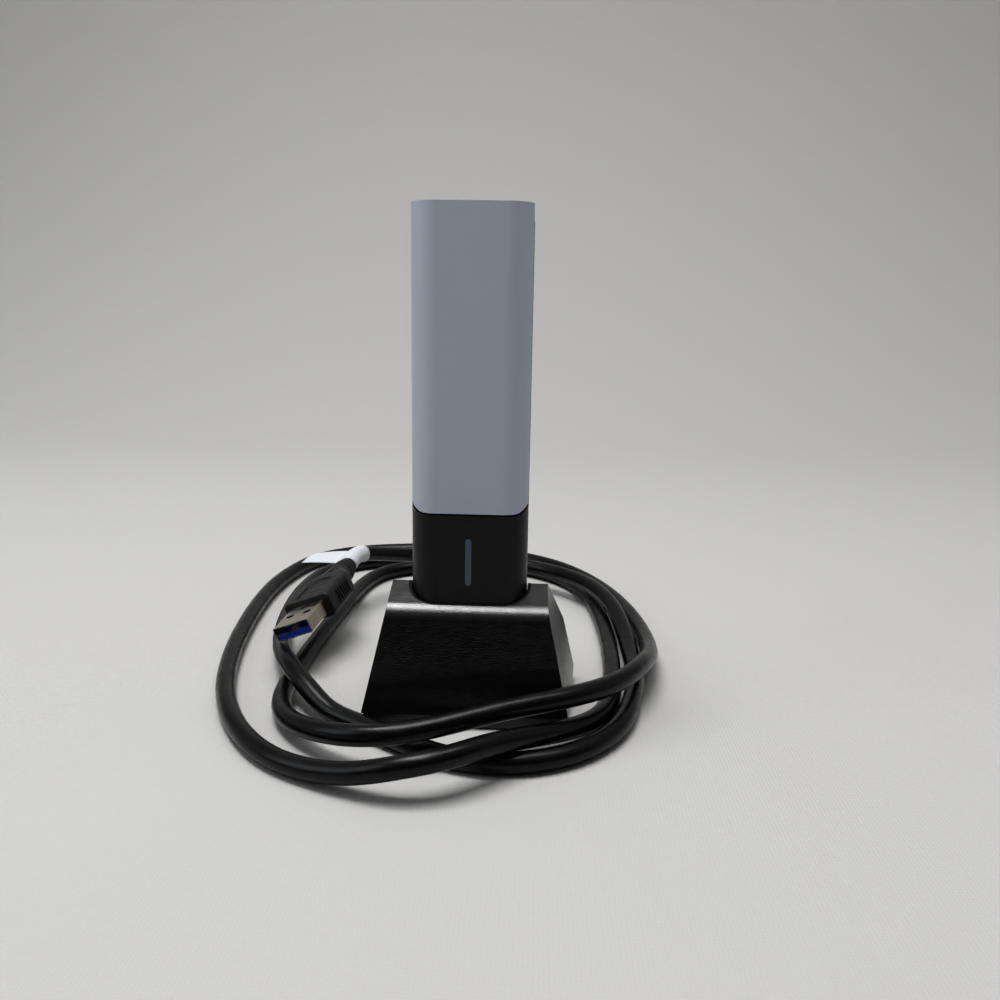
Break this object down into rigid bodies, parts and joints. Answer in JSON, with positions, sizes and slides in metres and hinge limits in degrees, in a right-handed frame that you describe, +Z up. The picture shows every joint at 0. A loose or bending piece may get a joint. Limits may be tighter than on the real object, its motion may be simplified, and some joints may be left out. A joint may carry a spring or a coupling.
{
  "type": "usb wifi adapter",
  "caption": "USB wireless adapter stick with a fold-up antenna flap, standing in a weighted desk cradle with its own USB socket and a long coiled extension cord.",
  "frame": {"origin": "centre of the cradle's foot on the table, under the standing stick", "axes": "+Z up along the stick, -Y out of the front that carries the antenna flap, +X to the right seen from the front"},
  "size_m": [0.1432, 0.2092, 0.1355],
  "materials": {
    "cradle_black": "satin, fine sparkle texture",
    "liner_black": "matte",
    "plinth_black": "satin",
    "pad_rubber": "matte",
    "plain_steel": "satin",
    "usb_nickel": "fine brushed",
    "usb_blue": "semi-gloss",
    "contact_gold": "polished",
    "board_green": "solder mask",
    "board_cream": "laminate",
    "cord_black": "satin",
    "grip_black": "matte moulded",
    "wire_red": "satin",
    "housing_black": "satin",
    "light_clear": "frosted translucent",
    "chip_black": "matte",
    "pad_grey": "soft matte",
    "heat_aluminium": "mill finish",
    "led_white": "clear",
    "flap_grey": "fine matte paint",
    "patch_copper": "bare copper",
    "label_white": "uncoated"
  },
  "bodies": {
    "cradle": {"cradle_shell": "cradle_black", "well_liner": "liner_black", "cradle_plinth": "plinth_black", "foot_pad": "pad_rubber", "ballast_plate": "plain_steel", "plinth_screws": "plain_steel", "socket_shell": "usb_nickel", "socket_tongue": "usb_blue", "socket_contacts": "contact_gold", "socket_board": "board_green", "board_screws": "plain_steel", "cord_gland": "cord_black", "cord_clamp": "plinth_black", "inner_wires": "wire_red", "cord": "cord_black", "cord_plug_grip": "grip_black", "cord_plug_shell": "usb_nickel", "cord_plug_insert": "usb_blue", "cord_plug_contacts": "contact_gold", "cord_relief": "grip_black", "cord_label": "label_white"},
    "stick": {"rear_housing": "housing_black", "front_housing": "housing_black", "light_pipe": "light_clear", "main_board": "board_green", "shield_can": "usb_nickel", "radio_chip": "chip_black", "thermal_pad": "pad_grey", "heat_plate": "heat_aluminium", "status_led": "led_white", "lead_sockets": "contact_gold", "radio_leads": "cord_black", "plug_shell": "usb_nickel", "plug_insert": "usb_blue", "plug_contacts": "contact_gold", "housing_screws": "plain_steel"},
    "flap": {"antenna_cover": "flap_grey", "antenna_back": "housing_black", "antenna_board": "board_cream", "antenna_patches": "patch_copper", "antenna_leads": "cord_black", "antenna_screws": "plain_steel", "hinge_pins": "plain_steel", "hinge_washers": "plain_steel"}
  },
  "joints": [
    {"name": "stick_lift", "type": "slide", "parent": "cradle", "child": "stick", "axis": [0, 0, 1], "range_m": [0, 0.045]},
    {"name": "flap_fold", "type": "hinge", "parent": "stick", "child": "flap", "pos_m": [0, 0, 0.1334], "axis": [-1, 0, 0], "range_deg": [0, 180]}
  ]
}
